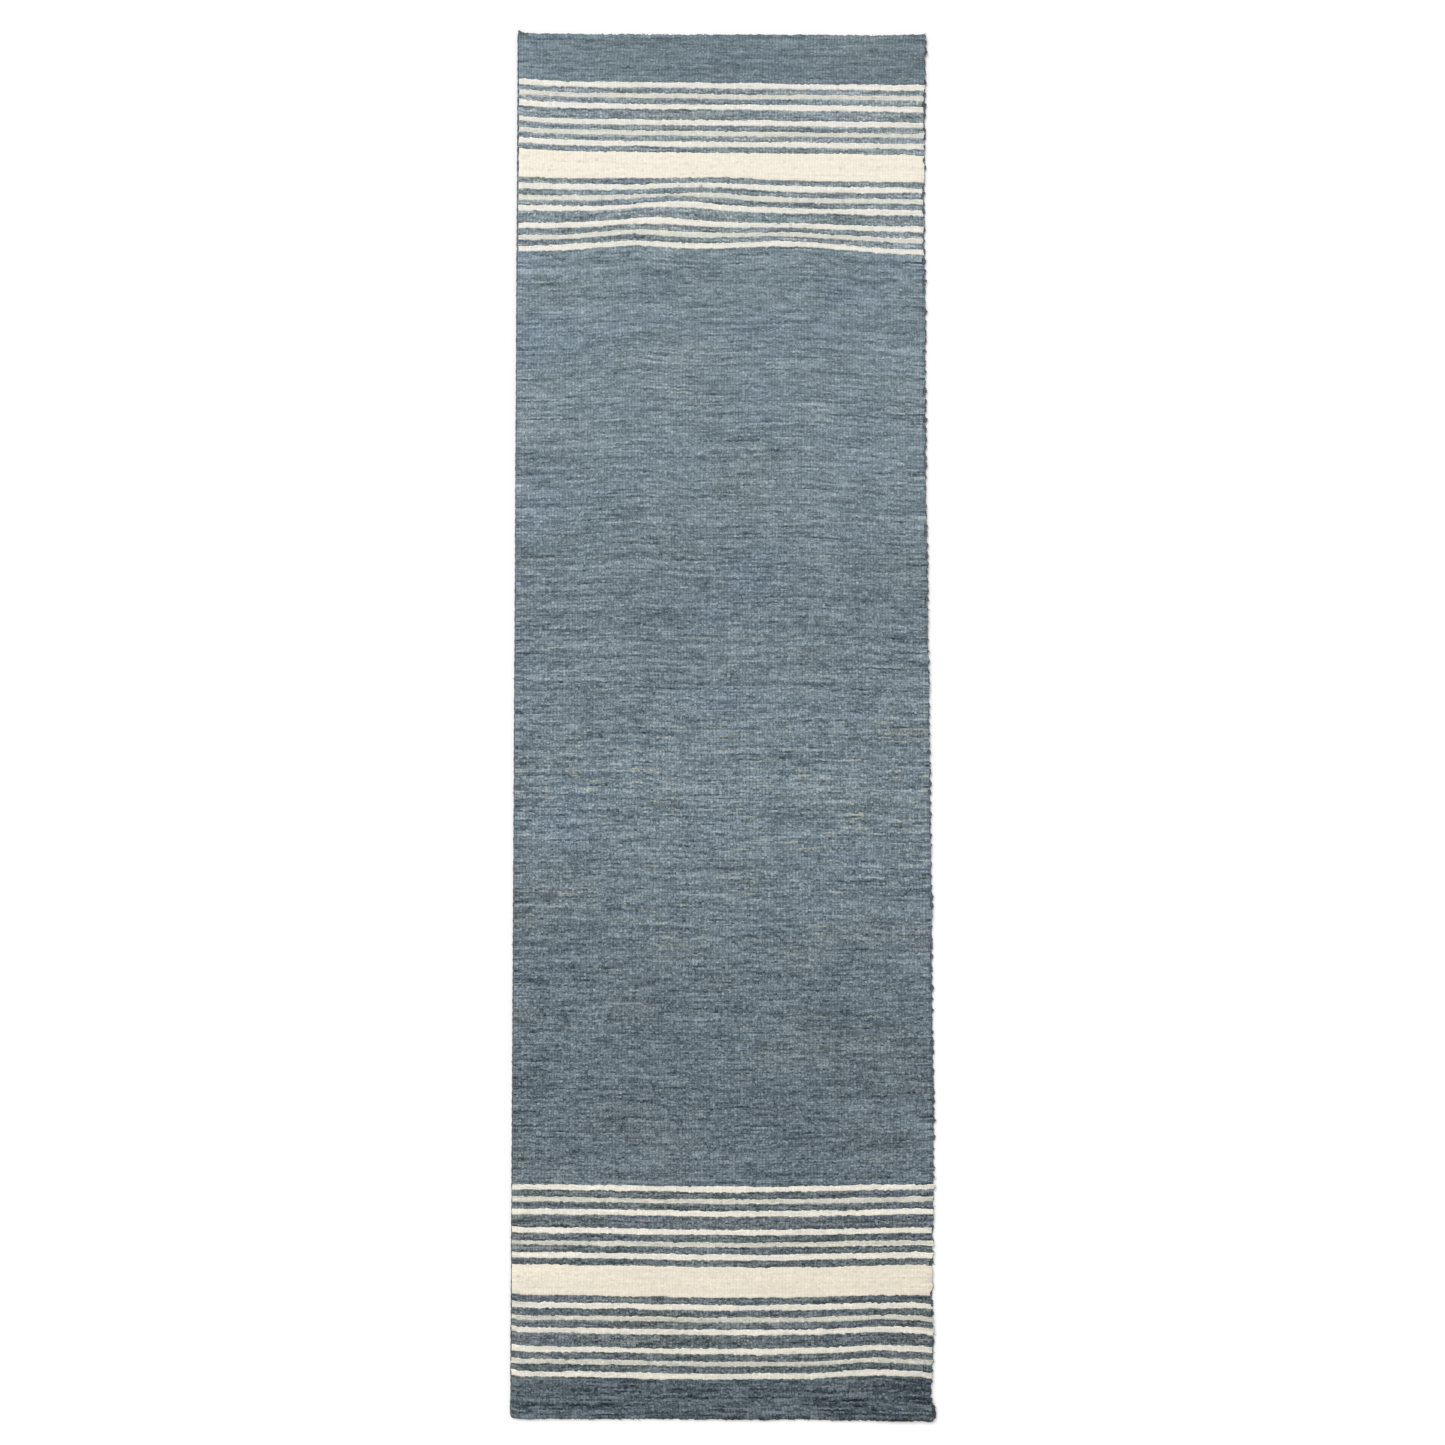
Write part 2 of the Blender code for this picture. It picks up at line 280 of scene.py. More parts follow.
YARN_COLOURS = {
    "field": (0.211, 0.275, 0.317),
    "end_band": (0.205, 0.272, 0.316),
    "thin_blue": (0.215, 0.262, 0.288),
    "medium_blue": (0.215, 0.262, 0.288),
    "ivory": (0.83, 0.81, 0.75),
    "pale": (0.70, 0.70, 0.64),
    "broad_ivory": (0.88, 0.825, 0.715),
    "wrap": (0.190, 0.222, 0.250),
    "ground": (0.55, 0.52, 0.44),
    "hem": (0.50, 0.48, 0.43),
    "cord": (0.60, 0.57, 0.50),
}


# ================================================================ curves and noise
def smooth_curve(places, values, at):
    """A smooth curve through the values, read at the places in at."""
    places, values = np.asarray(places, float), np.asarray(values, float)
    slopes = np.gradient(values, places)
    at = np.clip(at, places[0], places[-1])
    left = np.clip(np.searchsorted(places, at) - 1, 0, len(places) - 2)
    span = places[left + 1] - places[left]
    t = (at - places[left]) / span
    return (
        values[left] * (1 + 2 * t) * (1 - t) ** 2
        + slopes[left] * span * t * (1 - t) ** 2
        + values[left + 1] * t**2 * (3 - 2 * t)
        + slopes[left + 1] * span * t**2 * (t - 1)
    )


def blurred(values, spread, axis):
    """values smoothed along one axis over that many cells."""
    reach = int(3 * spread) + 1
    kernel = np.exp(-0.5 * (np.arange(-reach, reach + 1) / spread) ** 2)
    margins = [(0, 0)] * values.ndim
    margins[axis] = (reach, reach)
    padded = np.pad(values, margins, mode="reflect")
    return np.apply_along_axis(np.convolve, axis, padded, kernel / kernel.sum(), mode="valid")


def patches(shape, *spreads):
    """Seeded noise of mean 0 and spread 1, in patches of that many cells along each axis."""
    noise = RANDOM.normal(size=shape)
    for axis, spread in enumerate(spreads):
        if spread:
            noise = blurred(noise, spread, axis)
    return (noise - noise.mean()) / noise.std()


# ================================================================ how the rug lies
HALF_WIDTH = (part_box("right_overcasting")[1].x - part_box("left_overcasting")[0].x) / 2
HALF_LENGTH = (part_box("far_hem")[1].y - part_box("near_hem")[0].y) / 2


def lift(x, y):
    """How high the underside lies off the floor: nought over most of the rug, with low swells."""
    swells = sum(height * np.sin(across * x + along * y + phase) for height, across, along, phase in SWELLS)
    nearer_side = np.clip(np.abs(x) / HALF_WIDTH, 0, 1.1) ** 2
    share = MIDDLE_LIFT + (1 - MIDDLE_LIFT) * nearer_side
    height = LIFT_HEIGHT * np.maximum(swells - SWELLS_START, 0) * share
    for side, end, part in LIFTED_CORNERS:
        away = np.hypot(x - side * HALF_WIDTH, y - end * HALF_LENGTH)
        height = height + part * CORNER_LIFT * np.exp(-((away / CORNER_REACH) ** 2))
    return height


def lay(points):
    """Rug coordinates, as an array of points, turned into places on the floor."""
    x, y, z = np.moveaxis(np.asarray(points, float), -1, 0)
    fade, early = ROUNDING_FADE
    for side, end, radius in ROUNDED_CORNERS:
        into = np.clip((side * x - HALF_WIDTH + radius) / radius, 0, 1)
        at_end = np.clip((end * y - HALF_LENGTH) / (fade * radius) + early, 0, 1)
        y = y - end * at_end * radius * (1 - np.sqrt(1 - into**2))
    outward = smooth_curve(*np.array(RIGHT_SIDE).T, y) * MM
    share = np.clip((x + HALF_WIDTH) / (2 * HALF_WIDTH), 0, FARTHEST_OUT) ** 2
    return np.stack([x + outward * share, y, z + lift(x, y)], axis=-1)


# ================================================================ meshes
def new_piece(name, points, faces, flat_faces=0):
    """An object from its points and groups of faces, smooth but for the last flat_faces.

    Each group is an array of point numbers, one row for each face.
    """
    mesh = bpy.data.meshes.new(name)
    sizes = np.concatenate([np.full(len(group), group.shape[1]) for group in faces])
    corners = np.concatenate([group.ravel() for group in faces])
    mesh.vertices.add(len(points))
    mesh.vertices.foreach_set("co", np.asarray(points, np.float32).ravel())
    mesh.loops.add(len(corners))
    mesh.loops.foreach_set("vertex_index", corners.astype(np.int32))
    mesh.polygons.add(len(sizes))
    mesh.polygons.foreach_set("loop_start", (np.cumsum(sizes) - sizes).astype(np.int32))
    smooth = np.arange(len(sizes)) < len(sizes) - flat_faces
    mesh.polygons.foreach_set("use_smooth", smooth)
    mesh.update(calc_edges=True)
    mesh.validate()
    piece = bpy.data.objects.new(name, mesh)
    bpy.context.scene.collection.objects.link(piece)
    return piece


def skin(rings, first=0):
    """Four-sided faces between closed rings of points, which are numbered from first."""
    corner = first + np.arange(rings.shape[0] * rings.shape[1]).reshape(rings.shape[:2])
    beside = np.roll(corner, -1, axis=1)
    quads = np.stack([corner[:-1], beside[:-1], beside[1:], corner[1:]], axis=-1)
    return corner, quads.reshape(-1, 4)


def swept(name, rings, shade, tone=(1.0, 1.0, 1.0)):
    """A closed piece over a row of rings, with a flat face at each end."""
    corner, quads = skin(rings)
    piece = new_piece(name, lay(rings).reshape(-1, 3), [quads, corner[:1, ::-1], corner[-1:]], 2)
    faces = np.ones((len(quads) + 2, 3))
    faces[:-2] *= np.reshape(tone, (-1, 3))
    dress(piece, shade, faces)
    return piece


def tube(name, outer, inner, shade):
    """A pipe with an outer skin, an inner skin and a ring of faces at each end."""
    out_corner, out_quads = skin(outer)
    in_corner, in_quads = skin(inner, outer.shape[0] * outer.shape[1])
    rims = []
    for end, order in ((0, 1), (-1, -1)):
        out_ring, in_ring = out_corner[end], in_corner[end]
        rim = np.stack([out_ring, in_ring, np.roll(in_ring, -1), np.roll(out_ring, -1)], axis=-1)
        rims.append(rim[:, ::order])
    points = np.concatenate([outer.reshape(-1, 3), inner.reshape(-1, 3)])
    rim_faces = np.concatenate(rims)
    piece = new_piece(name, lay(points), [out_quads, in_quads[:, ::-1], rim_faces], len(rim_faces))
    dress(piece, np.concatenate([shade.ravel(), np.ones(inner.shape[0] * inner.shape[1])]))
    return piece


def dress(piece, shade, tone=(1.0, 1.0, 1.0)):
    """Gives the piece a shade at every point, painted shade or a yarn's own tone, and on every face a colour
    that multiplies its dye.
    """
    mesh = piece.data
    shades = np.ravel(shade) * np.ones(len(mesh.vertices))
    tones = tone * np.ones((len(mesh.polygons), 3))
    attribute = mesh.attributes.new("shade", "FLOAT", "POINT")
    attribute.data.foreach_set("value", shades.astype(np.float32))
    attribute = mesh.attributes.new("tone", "FLOAT_VECTOR", "FACE")
    attribute.data.foreach_set("vector", tones.astype(np.float32).ravel())


def finish_piece(piece, kind, *nodes):
    """The piece takes its yarn, rides on the rug and stands for its CAD nodes."""
    piece.data.materials.append(yarn_material(kind))
    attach(piece, BODY)
    if nodes:
        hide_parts(*nodes)
    return piece


# ================================================================ materials
FIBRE_SCALE = 1100
TUFT_SCALE = 330
FIBRE_BUMP = 0.35 * MM
YARN_SHEEN = 0.12
SHEEN_ROUGHNESS = 0.5
YARN_SPECULAR = 0.22
YARN_ROUGHNESS = (0.80, 0.98)
FIBRE_TONES = (0.86, 1.14)
FIBRE_STRETCH = (0.55, 1.0, 1.0)
NOISE_RANGE = (0.3, 0.7)  # nearly all that a noise node gives
NOISE_ROUGHNESS = 0.55


def add_node(tree, kind, **settings):
    node = tree.nodes.new(kind)
    for key, value in settings.items():
        setattr(node, key, value)
    return node


def noise(tree, place, scale, detail):
    node = add_node(tree, "ShaderNodeTexNoise")
    node.inputs["Scale"].default_value = scale
    node.inputs["Detail"].default_value = detail
    node.inputs["Roughness"].default_value = NOISE_ROUGHNESS
    tree.links.new(place, node.inputs["Vector"])
    return node.outputs["Fac"]


def spread_over(tree, value, low, high):
    """The value of a noise node, spread from low to high."""
    node = add_node(tree, "ShaderNodeMapRange")
    for key, number in zip(("From Min", "From Max", "To Min", "To Max"), (*NOISE_RANGE, low, high)):
        node.inputs[key].default_value = number
    tree.links.new(value, node.inputs["Value"])
    return node.outputs["Result"]


def times(tree, colour, factor):
    """A colour multiplied by a value or another colour."""
    node = add_node(tree, "ShaderNodeVectorMath", operation="MULTIPLY")
    tree.links.new(colour, node.inputs[0])
    tree.links.new(factor, node.inputs[1])
    return node.outputs["Vector"]


def yarn_material(kind):
    """Wool or cotton: its dye, the knots' own tones, their shade (much of it painted shade in valleys, gaps
    and grooves), and fine fibres.
    """
    found = bpy.data.materials.get(kind + "_yarn")
    if found:
        return found
    material = bpy.data.materials.new(kind + "_yarn")
    material.use_nodes = True
    tree = material.node_tree
    shader = tree.nodes["Principled BSDF"]
    place = add_node(tree, "ShaderNodeTexCoord").outputs["Object"]
    along = add_node(tree, "ShaderNodeMapping")
    along.inputs["Scale"].default_value = FIBRE_STRETCH
    tree.links.new(place, along.inputs["Vector"])
    fibres = noise(tree, along.outputs["Vector"], FIBRE_SCALE, 3)
    tufts = noise(tree, along.outputs["Vector"], TUFT_SCALE, 2)

    tone = add_node(tree, "ShaderNodeAttribute", attribute_name="tone")
    shade = add_node(tree, "ShaderNodeAttribute", attribute_name="shade")
    dye = add_node(tree, "ShaderNodeRGB")
    dye.outputs["Color"].default_value = (*YARN_COLOURS[kind], 1)
    colour = times(tree, dye.outputs["Color"], tone.outputs["Vector"])
    colour = times(tree, colour, shade.outputs["Fac"])
    colour = times(tree, colour, spread_over(tree, fibres, *FIBRE_TONES))
    tree.links.new(colour, shader.inputs["Base Color"])
    tree.links.new(spread_over(tree, tufts, *YARN_ROUGHNESS), shader.inputs["Roughness"])

    bump = add_node(tree, "ShaderNodeBump")
    bump.inputs["Strength"].default_value = 1
    bump.inputs["Distance"].default_value = FIBRE_BUMP
    tree.links.new(fibres, bump.inputs["Height"])
    tree.links.new(bump.outputs["Normal"], shader.inputs["Normal"])
    shader.inputs["Specular IOR Level"].default_value = YARN_SPECULAR
    shader.inputs["Sheen Weight"].default_value = YARN_SHEEN
    shader.inputs["Sheen Roughness"].default_value = SHEEN_ROUGHNESS
    return material


# ================================================================ the weave
def band_edges(node, at):
    """The near and far edges of a CAD band of pile, as Y at each place across the rug."""
    close = 0.1 * MM
    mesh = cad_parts[node].data
    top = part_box(node)[1].z
    stations = np.linspace(-PILE_HALF_WIDTH, PILE_HALF_WIDTH, CAD_STATIONS)
    near, far = np.full(CAD_STATIONS, np.inf), np.full(CAD_STATIONS, -np.inf)
    for edge in mesh.edges:
        start, end = sorted((mesh.vertices[corner].co for corner in edge.vertices), key=lambda co: co.x)
        if top - min(start.z, end.z) > close or end.x - start.x < close:
            continue
        crossed = (stations > start.x - close) & (stations < end.x + close)
        y = np.interp(stations[crossed], (start.x, end.x), (start.y, end.y))
        near[crossed] = np.minimum(near[crossed], y)
        far[crossed] = np.maximum(far[crossed], y)
    return smooth_curve(stations, near, at), smooth_curve(stations, far, at)


def per_column(values):
    """One value for each rib, given to the columns of that rib, with means in the valleys."""
    columns = np.empty(values.shape[:-1] + (COLUMNS,))
    columns[..., 1::3] = columns[..., 2::3] = values
    edged = np.concatenate([values[..., :1], values, values[..., -1:]], axis=-1)
    columns[..., 0::3] = (edged[..., :-1] + edged[..., 1:]) / 2
    return columns


def per_line(values):
    """One value for each row, given to its crown line, with means on the lines between rows."""
    lines = np.empty((2 * len(values) + 1,) + values.shape[1:])
    lines[1::2] = values
    edged = np.concatenate([values[:1], values, values[-1:]])
    lines[0::2] = (edged[:-1] + edged[1:]) / 2
    return lines


def band_kind(node):
    """far_ivory_3 is ivory, and far_end_band is end_band."""
    words = [word for word in node.split("_") if not word.isdigit()]
    return "field" if node == "field_pile" else "_".join(words[1:])


PILE_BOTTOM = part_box("field_pile")[0].z
PILE_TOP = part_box("field_pile")[1].z
PILE_HALF_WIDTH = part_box("field_pile")[1].x
RIB_WIDTH = 2 * PILE_HALF_WIDTH / RIBS
column_x = np.empty(COLUMNS)
column_x[0::3] = -PILE_HALF_WIDTH + RIB_WIDTH * np.arange(RIBS + 1)
column_x[1::3] = column_x[0:-1:3] + RIB_WIDTH * RIB_CROWN_INSET
column_x[2::3] = column_x[3::3] - RIB_WIDTH * RIB_CROWN_INSET

bands = [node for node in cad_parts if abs(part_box(node)[1].z - PILE_TOP) < 0.1 * MM]
edges = {node: band_edges(node, column_x) for node in bands}
bands.sort(key=lambda node: edges[node][0].mean())

rows_in = {}
for node in bands:
    width = (edges[node][1] - edges[node][0]).mean()
    rows_in[node] = max(2, round(width / ROW_PITCH))
ROWS = sum(rows_in.values())
KNOTS = (ROWS, RIBS)

knot_slip = per_column(KNOT_SLIP * patches((2 * ROWS + 1, RIBS), 0, 0))
at_edges = (len(bands) + 1, RIBS)
edge_slip = per_column(
    EDGE_SLIP * patches(at_edges, 0, 0) + EDGE_SWAY * patches(at_edges, 0, EDGE_SWAY_RIBS)
)
line_y = np.empty((2 * ROWS + 1, COLUMNS))
first_row = {}
row = 0
for place, node in enumerate(bands):
    near, far = edges[node]
    if place > 0:
        near = (near + edges[bands[place - 1]][1]) / 2
    if place < len(bands) - 1:
        far = (far + edges[bands[place + 1]][0]) / 2
    near, far = near + edge_slip[place], far + edge_slip[place + 1]
    first_row[node] = row
    lines = slice(2 * row, 2 * (row + rows_in[node]) + 1)
    shares = np.repeat(np.arange(rows_in[node] + 1.0), 2)[:-1]
    shares[1::2] += ROW_CROWN
    shares = shares[:, None] / rows_in[node]
    slip = knot_slip[lines] * np.minimum(1, SLIP_FADE * shares * (1 - shares))
    line_y[lines] = near + (far - near) * shares + slip
    row += rows_in[node]

# Beside the cords the near rows turn: up at the left and down at the right
near_rows = np.clip((NEAR_TURN[0] - line_y) / NEAR_TURN[1], 0, 1)
line_y += SIDE_TURN * near_rows * np.exp(-(column_x + PILE_HALF_WIDTH) / SIDE_TURN_REACH)
line_y -= SIDE_TURN * near_rows * np.exp((column_x - PILE_HALF_WIDTH) / SIDE_TURN_REACH)

sway = RIB_SWAY * patches(KNOTS, *RIB_SWAY_PATCH) + KNOT_LEAN * patches(KNOTS, 0, 0)
line_x = column_x + per_line(per_column(sway))
line_x += column_x[0] - line_x[:, :1]  # the sides themselves stay beside the cords
line_x += (column_x - column_x[0]) / (column_x[-1] - column_x[0]) * (column_x[-1] - line_x[:, -1:])

line_z = np.full(line_y.shape, PILE_TOP - TRIM_BELOW_TOP)
line_z += per_line(
    per_column(
        KNOT_HEIGHTS * patches(KNOTS, 0, 0)
        + STREAK_HEIGHTS * patches(KNOTS, *STREAK_PATCH)
        + CLOUD_HEIGHTS * patches(KNOTS, *CLOUD_PATCH)
    )
)
line_z[1::2, 0::3] -= RIB_VALLEY
line_z[0::2, :] -= ROW_VALLEY
line_z[0::2, 0::3] -= CROSSING_VALLEY - ROW_VALLEY


# ---------------------------------------------------------------- tone and tint of every knot, with painted sheen and shade
LIGHT_KINDS = ("ivory", "pale", "broad_ivory")


def yarn_of(node):
    """far_ivory_3 is knotted with far_ivory."""
    return node.rstrip("0123456789").rstrip("_")


def dye_and_sheen_lightness(node, y):
    """How light the dye of a band is, with its painted sheen along the rug, at each row, before its
    unevenness.
    """
    if node == "field_pile":
        return smooth_curve(*np.array(FIELD_DYE_LOTS_AND_SHEEN).T, y)
    dye = np.full(len(y), BAND_LIGHTNESS[yarn_of(node)])
    if band_kind(node) in LIGHT_KINDS:
        start, end, most = NEAR_END_DARKENING
        dye *= 1 - most * np.clip((y - start) / (end - start), 0, 1)
    return dye


def contrast(node, y):
    """How uneven the yarn of a band is, at each row: knot by knot, and in streaks and clouds."""
    if node == "field_pile":
        places, knots, streaks = np.array(FIELD_CONTRAST).T
        return np.interp(y, places, knots), np.interp(y, places, streaks)
    return CONTRAST[yarn_of(node)]


unevenness = sum(spread * patches(KNOTS, rows, ribs) for spread, rows, ribs in TONE_LAYERS)
for lightness, ribs, threshold, clustering in NICKS:
    runs = patches(KNOTS, 0, ribs) + clustering * patches(KNOTS, *NICK_CLUSTERS)
    unevenness += lightness * np.maximum(runs - threshold, 0)
unevenness -= unevenness.mean()
strength, rows, ribs = FLECK_CLUSTERS
flecks = patches(KNOTS, 0, FLECK_RIBS) + strength * patches(KNOTS, rows, ribs)
middle, half_length = FLECK_STRETCH
in_stretch = np.exp(-(((line_y[1::2].mean(axis=1) - middle) / half_length) ** 2))[:, None]
flecks = np.clip(flecks - FLECK_THRESHOLD, 0, FLECK_LIMIT)
flecks *= FLECKS_ELSEWHERE + (1 - FLECKS_ELSEWHERE) * in_stretch
tufts = KNOT_TONES * patches(KNOTS, 0, 0)[..., None] + TUFT_TONES * patches((ROWS, RIBS, 2))
tufts = np.stack([tufts[..., 0], tufts.mean(axis=-1), tufts[..., 1]], axis=-1).reshape(ROWS, 3 * RIBS)
# Each knot is two lines of three faces: its left tuft, the middle and its right tuft
tufts = np.repeat(tufts, 2, axis=0)
tufts += sum(spread * patches(tufts.shape, 0, reach) for spread, reach in HALF_ROW_LAYERS)


def per_face(values):
    """One value for each knot, given to its faces."""
    return np.repeat(np.repeat(values, 2, axis=0), 3, axis=1)


tint = sum(spread * patches(KNOTS, rows, ribs) for spread, rows, ribs in TINT_LAYERS)
face_tone = np.empty((2 * ROWS, 3 * RIBS, 3))
for node in bands:
    rows = slice(first_row[node], first_row[node] + rows_in[node])
    lines = slice(2 * rows.start, 2 * rows.stop)
    y = line_y[1::2][rows].mean(axis=1)
    by_knot, by_streak = (np.reshape(share, (-1, 1)) * np.ones((len(y), 1)) for share in contrast(node, y))
    strayed = np.repeat(by_knot, 2, axis=0) * tufts[lines] + per_face(by_streak * unevenness[rows])
    flecked = per_face(flecks[rows] * (band_kind(node) not in LIGHT_KINDS))
    strayed += FLECK_LIGHTNESS * flecked
    strayed = np.minimum(strayed - DARK_SKEW * strayed**2, LIGHTEST)
    cool = 0.5 + tint[rows]
    if band_kind(node) in LIGHT_KINDS:
        cool = 0.5 + LIGHT_YARN_TINTS * tint[rows]
        cool += NEAR_LIGHT_TINT if node.startswith("near") else 0
    cool = per_face(np.clip(cool, 0, 1))[..., None]
    # the dye's lightness, with painted sheen along the rug
    dye = np.repeat(dye_and_sheen_lightness(node, y), 2)[:, None, None]
    face_tone[lines] = dye * np.exp(strayed[..., None] * STRAY_COLOUR) * FLECK_COLOUR ** flecked[..., None]
    face_tone[lines] *= WARM_TINT + cool * (COOL_TINT - WARM_TINT)
    lighter = FAR_END_LEFT_LIGHTER if node == "far_end_band" else LEFT_LIGHTER
    face_tone[lines] *= 1 - lighter * np.linspace(-0.5, 0.5, 3 * RIBS)[:, None]
row_tone = face_tone[0::2, :, 1]
# painted shade in the gaps between rows, darker in some places than in others
gap_shade = 1 - GAP_SPREAD * np.clip(patches((ROWS + 1, RIBS), 0, GAP_PATCH), *GAP_LIMITS)


# ================================================================ the pile
def pile_rings(lines, extra):
    """Closed rings on those lines of the weave: up the left side, over the knots, down the right and back.

    extra is how much further than usual the knots hang over the cord on each side.
    """
    x, y, z = line_x[lines], line_y[lines], line_z[lines]
    walls = []
    for side, edge, sign in (("left", 0, -1), ("right", -1, 1)):
        overhang = OVERHANG + extra.get(side, 0) + overhang_spread[side][lines, None]
        height, out = np.array(WALL).T
        wall_x = x[:, edge, None] + sign * out * overhang
        wall_y = np.broadcast_to(y[:, edge, None], wall_x.shape)
        wall_z = PILE_BOTTOM + height * (z[:, edge, None] + RIB_VALLEY - PILE_BOTTOM)
        walls.append(np.stack([wall_x, wall_y, wall_z], axis=-1))
    over = np.stack([x, y, z], axis=-1)
    under_x = np.linspace(PILE_HALF_WIDTH, -PILE_HALF_WIDTH, UNDERSIDE_POINTS + 2)[1:-1]
    under_y = np.stack([np.interp(under_x, column_x, row_y) for row_y in y])
    under = np.stack(
        [np.broadcast_to(under_x, under_y.shape), under_y, np.full(under_y.shape, PILE_BOTTOM)], axis=-1
    )
    return np.concatenate([walls[0], over, walls[1][:, ::-1], under], axis=1)


overhang_spread = {
    side: OVERHANG_SPREAD[side] * per_line(patches((ROWS,), OVERHANG_ROWS[0]))
    + OVERHANG_WAVE[side] * per_line(patches((ROWS,), OVERHANG_ROWS[1]))
    for side in ("left", "right")
}


def on_rings(values, inset=0, closing=0):
    """Values on the weave's columns, carried on round the sides and underneath.

    inset says which column beside a side to carry on. Values on faces need one more, closing each ring.
    """
    left = np.repeat(values[:, inset, None], len(WALL), axis=1)
    right = np.repeat(values[:, -1 - inset, None], len(WALL) + UNDERSIDE_POINTS + closing, axis=1)
    return np.concatenate([left, values, right], axis=1)


def round_the_end(rings, shades, tones, near):
    """The same, with more rings that turn the last row down over the rug's end to the ground, darkened down
    the turn with painted shade.
    """
    order = slice(None) if near else slice(None, None, -1)
    rings, shades, tones = rings[order], shades[order], tones[order]
    outward = -1 if near else 1
    last, added, darker = rings[0], [], []
    height = last[:, 2] - PILE_BOTTOM
    for step in range(1, END_STEPS + 1):
        turn = math.pi / 2 * step / END_STEPS
        ring = last.copy()
        ring[:, 1] += outward * END_ROUND * math.sin(turn) * np.clip(height / END_ROUND, END_TUCK, 1)
        drop = END_ROUND * (1 - math.cos(turn)) + (height - END_ROUND) * (step == END_STEPS) * END_DROP
        ring[:, 2] = PILE_BOTTOM + np.maximum(height - np.maximum(drop, 0), UNDERSIDE_SLACK * height)
        added.append(ring)
        # painted shade, deeper at each step down the turn
        darker.append(1 - END_SHADE["near" if near else "far"] * step / END_STEPS)
    rings = np.concatenate([added[::-1], rings])
    shades = np.concatenate([shades[:1] * np.array(darker)[::-1, None], shades])
    tones = np.concatenate([np.repeat(tones[:1], END_STEPS, axis=0), tones])
    return rings[order], shades[order], tones[order]


def pull_in_ends():
    """The last rows stop short of the rug's ends by the radius they turn down with."""
    for near, end in ((True, 0), (False, -1)):
        node = bands[end]
        rows = rows_in[node]
        lines = slice(0, 2 * rows + 1) if near else slice(len(line_y) - 2 * rows - 1, len(line_y))
        shares = np.linspace(*((1, 0) if near else (0, 1)), 2 * rows + 1)
        line_y[lines] += (1 if near else -1) * END_ROUND * shares[:, None]


def make_pile_piece(name, node, first, count):
    """One piece of pile, of that many rows of knots from the first one on."""
    lines = slice(2 * first, 2 * (first + count) + 1)
    light = band_kind(node) in LIGHT_KINDS
    # painted shade in the valleys between ribs and in the gaps between rows
    shade = np.ones((2 * count + 1, COLUMNS))
    shade[:, 0::3] *= RIB_SHADE["light" if light else "blue"]
    shade[0::2] *= ROW_SHADE["light" if light else "blue"]
    extra = {}
    if light:
        end = node.split("_")[0]
        extra = {side: LIGHT_YARN_OVERHANG[side, end] for side in ("left", "right")}
    else:
        shade[0::2] *= per_column(gap_shade[first : first + count + 1])
    tones = on_rings(face_tone[2 * first : 2 * (first + count)], closing=1)
    knotted = pile_rings(lines, extra), on_rings(shade, 1), tones
    if first == 0:
        knotted = round_the_end(*knotted, near=True)
    if first + count == ROWS:
        knotted = round_the_end(*knotted, near=False)
    return finish_piece(swept(name, *knotted), band_kind(node), node)


def make_pile():
    """A piece for each band, and several for the field."""
    pull_in_ends()
    for node in bands:
        if node != "field_pile":
            make_pile_piece(node + "_knots", node, first_row[node], rows_in[node])
            continue
        cuts = np.linspace(0, rows_in[node], FIELD_PANELS + 1).round().astype(int)
        for panel, (start, stop) in enumerate(zip(cuts[:-1], cuts[1:]), 1):
            make_pile_piece(f"field_knots_{panel}", node, first_row[node] + start, stop - start)


# ================================================================ the ground and its hems
GROUND_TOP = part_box("foundation")[1].z
GROUND_HALF_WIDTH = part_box("foundation")[1].x


def end_line(side, at):
    """The outer edge of one end, as Y at each place across the rug."""
    near, far = edges[side + "_end_band"]
    return np.interp(at, column_x, far if side == "far" else near)


def make_ground():
    """One woven sheet under all the knots, thinner over the hems."""
    x = np.linspace(-GROUND_HALF_WIDTH, GROUND_HALF_WIDTH, GROUND_COLUMNS)
    shares = np.linspace(0, 1, ROWS // 2)[:, None]
    inset = HEM_THICKNESS + HEM_GAP
    near, far = end_line("near", x) + inset, end_line("far", x) - inset
    y = near + (far - near) * shares
    hem_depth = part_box("far_hem")[1].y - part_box("far_hem")[0].y
    over_hem = np.minimum(y - near, far - y) < hem_depth
    low = np.where(over_hem, HEM_THICKNESS + HEM_GAP, GROUND_CLEARANCE)
    ribbed = GROUND_RIB * np.cos(math.pi * np.arange(GROUND_COLUMNS))
    wide = np.broadcast_to(x, y.shape)
    top = np.stack([wide, y, np.full(y.shape, GROUND_TOP)], axis=-1)
    bottom = np.stack([wide, y, np.maximum(low + ribbed, low)], axis=-1)[:, ::-1]
    rings = np.concatenate([top, bottom], axis=1)
    # the knots' tone, painted sheen along the rug included, shows through the back
    backs = np.interp(y[:, 0], line_y[1::2].mean(axis=1), row_tone.mean(axis=1))
    cotton, dyed = GROUND_SHADE
    piece = swept("ground_weave", rings, cotton + dyed * np.repeat(backs[:, None], rings.shape[1], axis=1))
    return finish_piece(piece, "ground", "foundation")


def hem_outline():
    """A hem's cross-section as (in from the end, height): round the outside, then back inside it."""
    outer = [(share * HEM_DEPTH, 0.0) for share in (1.0, 0.66, 0.33)] + [(HEM_BEND, 0.0)]
    for step in range(1, HEM_BEND_STEPS + 1):
        turn = math.pi / 2 * step / HEM_BEND_STEPS
        outer.append((HEM_BEND * (1 - math.sin(turn)), HEM_BEND * (1 - math.cos(turn))))
    outer += [(0.0, 0.75 * GROUND_TOP), (0.0, GROUND_TOP)]
    inner = [(HEM_THICKNESS, GROUND_TOP), (HEM_THICKNESS, HEM_THICKNESS + HEM_SLACK)]
    inner += [(share * HEM_DEPTH, HEM_THICKNESS) for share in (0.08, 0.33, 0.66, 1.0)]
    return np.array(outer + inner)


